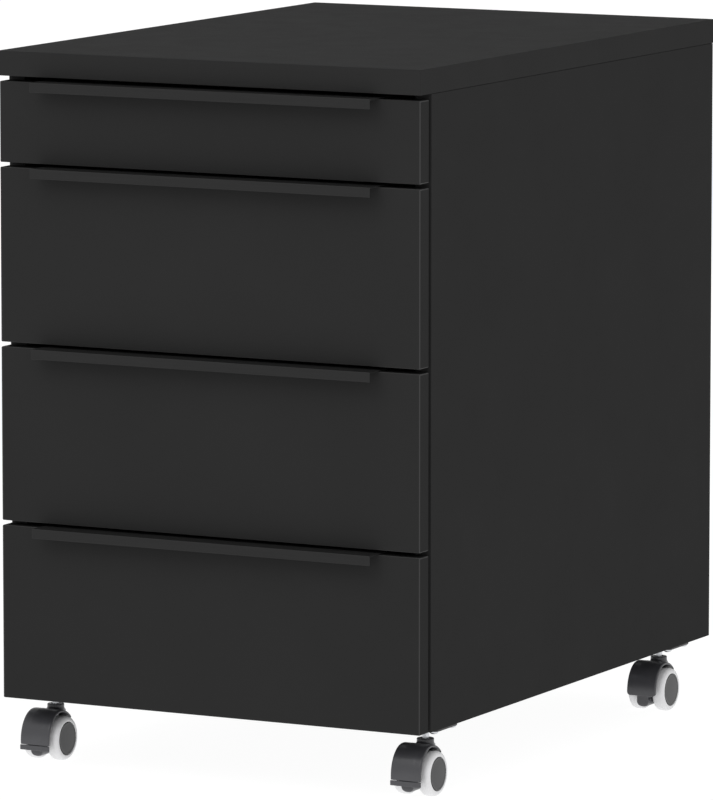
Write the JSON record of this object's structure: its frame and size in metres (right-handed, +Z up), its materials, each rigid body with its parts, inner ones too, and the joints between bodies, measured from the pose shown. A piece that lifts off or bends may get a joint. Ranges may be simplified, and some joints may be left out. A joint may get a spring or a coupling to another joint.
{
  "type": "pedestal cabinet",
  "caption": "Low drawer pedestal on twin-wheel casters, the front two braked, with a shallow pen drawer above deep drawers, full-width fronts, slim hooked edge handles and a thick flush top.",
  "frame": {"origin": "on the floor, in the middle of the overall width and depth", "axes": "+X to the right seen from the drawer fronts, +Y to the back, +Z up; the drawers pull out along -Y"},
  "size_m": [0.42, 0.6148, 0.6405],
  "materials": {
    "graphite_board": "matt graphite melamine-faced board with matching edge tape",
    "top_board": "matt graphite melamine-faced board, 22 mm",
    "back_board": "thin hardboard with a matt graphite face",
    "drawer_board": "light grey melamine-faced board",
    "handle_black": "satin black anodised",
    "coated_steel": "light grey epoxy powder coat",
    "zinc": "bright zinc plated",
    "black_steel": "black electrocoated steel",
    "caster_housing": "dark grey moulded nylon, semi-gloss",
    "caster_wheel": "light grey soft tread over a nylon hub",
    "hub_cap": "dark grey moulded cap",
    "nylon": "natural white nylon roller"
  },
  "bodies": {
    "cabinet": {"top_panel": "top_board", "side_panel_left": "graphite_board", "side_panel_right": "graphite_board", "bottom_panel": "graphite_board", "back_panel": "back_board", "drawer_1_rail_left": "coated_steel", "drawer_1_rail_right": "coated_steel", "drawer_2_rail_left": "coated_steel", "drawer_2_rail_right": "coated_steel", "drawer_3_rail_left": "coated_steel", "drawer_3_rail_right": "coated_steel", "drawer_4_rail_left": "coated_steel", "drawer_4_rail_right": "coated_steel", "caster_front_left_plate": "black_steel", "caster_front_right_plate": "black_steel", "caster_rear_left_plate": "black_steel", "caster_rear_right_plate": "black_steel"},
    "drawer_1": {"drawer_1_front": "graphite_board", "drawer_1_handle": "handle_black", "drawer_1_bottom": "drawer_board", "drawer_1_back": "drawer_board", "drawer_1_side_left": "coated_steel", "drawer_1_side_right": "coated_steel"},
    "drawer_2": {"drawer_2_front": "graphite_board", "drawer_2_handle": "handle_black", "drawer_2_bottom": "drawer_board", "drawer_2_back": "drawer_board", "drawer_2_side_left": "coated_steel", "drawer_2_side_right": "coated_steel"},
    "drawer_3": {"drawer_3_front": "graphite_board", "drawer_3_handle": "handle_black", "drawer_3_bottom": "drawer_board", "drawer_3_back": "drawer_board", "drawer_3_side_left": "coated_steel", "drawer_3_side_right": "coated_steel"},
    "drawer_4": {"drawer_4_front": "graphite_board", "drawer_4_handle": "handle_black", "drawer_4_bottom": "drawer_board", "drawer_4_back": "drawer_board", "drawer_4_side_left": "coated_steel", "drawer_4_side_right": "coated_steel"},
    "caster_front_left": {"caster_front_left_housing": "caster_housing", "caster_front_left_axle": "zinc"},
    "caster_front_left_left_wheel": {"caster_front_left_wheel_left": "caster_wheel"},
    "caster_front_left_right_wheel": {"caster_front_left_wheel_right": "caster_wheel"},
    "caster_front_right": {"caster_front_right_housing": "caster_housing", "caster_front_right_axle": "zinc"},
    "caster_front_right_left_wheel": {"caster_front_right_wheel_left": "caster_wheel"},
    "caster_front_right_right_wheel": {"caster_front_right_wheel_right": "caster_wheel"},
    "caster_rear_left": {"caster_rear_left_housing": "caster_housing", "caster_rear_left_axle": "zinc"},
    "caster_rear_left_left_wheel": {"caster_rear_left_wheel_left": "caster_wheel"},
    "caster_rear_left_right_wheel": {"caster_rear_left_wheel_right": "caster_wheel"},
    "caster_rear_right": {"caster_rear_right_housing": "caster_housing", "caster_rear_right_axle": "zinc"},
    "caster_rear_right_left_wheel": {"caster_rear_right_wheel_left": "caster_wheel"},
    "caster_rear_right_right_wheel": {"caster_rear_right_wheel_right": "caster_wheel"},
    "caster_front_left_brake": {"caster_front_left_brake_lever": "caster_housing"},
    "caster_front_right_brake": {"caster_front_right_brake_lever": "caster_housing"}
  },
  "joints": [
    {"name": "drawer_1_slide", "type": "slide", "parent": "cabinet", "child": "drawer_1", "axis": [0, -1, 0], "range_m": [0, 0.4]},
    {"name": "drawer_2_slide", "type": "slide", "parent": "cabinet", "child": "drawer_2", "axis": [0, -1, 0], "range_m": [0, 0.4]},
    {"name": "drawer_3_slide", "type": "slide", "parent": "cabinet", "child": "drawer_3", "axis": [0, -1, 0], "range_m": [0, 0.4]},
    {"name": "drawer_4_slide", "type": "slide", "parent": "cabinet", "child": "drawer_4", "axis": [0, -1, 0], "range_m": [0, 0.4]},
    {"name": "caster_front_left_swivel", "type": "hinge", "parent": "cabinet", "child": "caster_front_left", "pos_m": [-0.1865, -0.23555, 0.03], "axis": [0, 0, 1], "continuous": true},
    {"name": "caster_front_left_left_wheel_spin", "type": "hinge", "parent": "caster_front_left", "child": "caster_front_left_left_wheel", "pos_m": [-0.199, -0.24605, 0.02], "axis": [1, 0, 0], "continuous": true},
    {"name": "caster_front_left_right_wheel_spin", "type": "hinge", "parent": "caster_front_left", "child": "caster_front_left_right_wheel", "pos_m": [-0.174, -0.24605, 0.02], "axis": [1, 0, 0], "continuous": true},
    {"name": "caster_front_right_swivel", "type": "hinge", "parent": "cabinet", "child": "caster_front_right", "pos_m": [0.1865, -0.23555, 0.03], "axis": [0, 0, 1], "continuous": true},
    {"name": "caster_front_right_left_wheel_spin", "type": "hinge", "parent": "caster_front_right", "child": "caster_front_right_left_wheel", "pos_m": [0.174, -0.24605, 0.02], "axis": [1, 0, 0], "continuous": true},
    {"name": "caster_front_right_right_wheel_spin", "type": "hinge", "parent": "caster_front_right", "child": "caster_front_right_right_wheel", "pos_m": [0.199, -0.24605, 0.02], "axis": [1, 0, 0], "continuous": true},
    {"name": "caster_rear_left_swivel", "type": "hinge", "parent": "cabinet", "child": "caster_rear_left", "pos_m": [-0.1865, 0.24345, 0.03], "axis": [0, 0, 1], "continuous": true},
    {"name": "caster_rear_left_left_wheel_spin", "type": "hinge", "parent": "caster_rear_left", "child": "caster_rear_left_left_wheel", "pos_m": [-0.199, 0.23295, 0.02], "axis": [1, 0, 0], "continuous": true},
    {"name": "caster_rear_left_right_wheel_spin", "type": "hinge", "parent": "caster_rear_left", "child": "caster_rear_left_right_wheel", "pos_m": [-0.174, 0.23295, 0.02], "axis": [1, 0, 0], "continuous": true},
    {"name": "caster_rear_right_swivel", "type": "hinge", "parent": "cabinet", "child": "caster_rear_right", "pos_m": [0.1865, 0.24345, 0.03], "axis": [0, 0, 1], "continuous": true},
    {"name": "caster_rear_right_left_wheel_spin", "type": "hinge", "parent": "caster_rear_right", "child": "caster_rear_right_left_wheel", "pos_m": [0.174, 0.23295, 0.02], "axis": [1, 0, 0], "continuous": true},
    {"name": "caster_rear_right_right_wheel_spin", "type": "hinge", "parent": "caster_rear_right", "child": "caster_rear_right_right_wheel", "pos_m": [0.199, 0.23295, 0.02], "axis": [1, 0, 0], "continuous": true},
    {"name": "caster_front_left_brake_press", "type": "hinge", "parent": "caster_front_left", "child": "caster_front_left_brake", "pos_m": [-0.1865, -0.26805, 0.0142], "axis": [1, 0, 0], "range_deg": [0, 20]},
    {"name": "caster_front_right_brake_press", "type": "hinge", "parent": "caster_front_right", "child": "caster_front_right_brake", "pos_m": [0.1865, -0.26805, 0.0142], "axis": [1, 0, 0], "range_deg": [0, 20]}
  ]
}
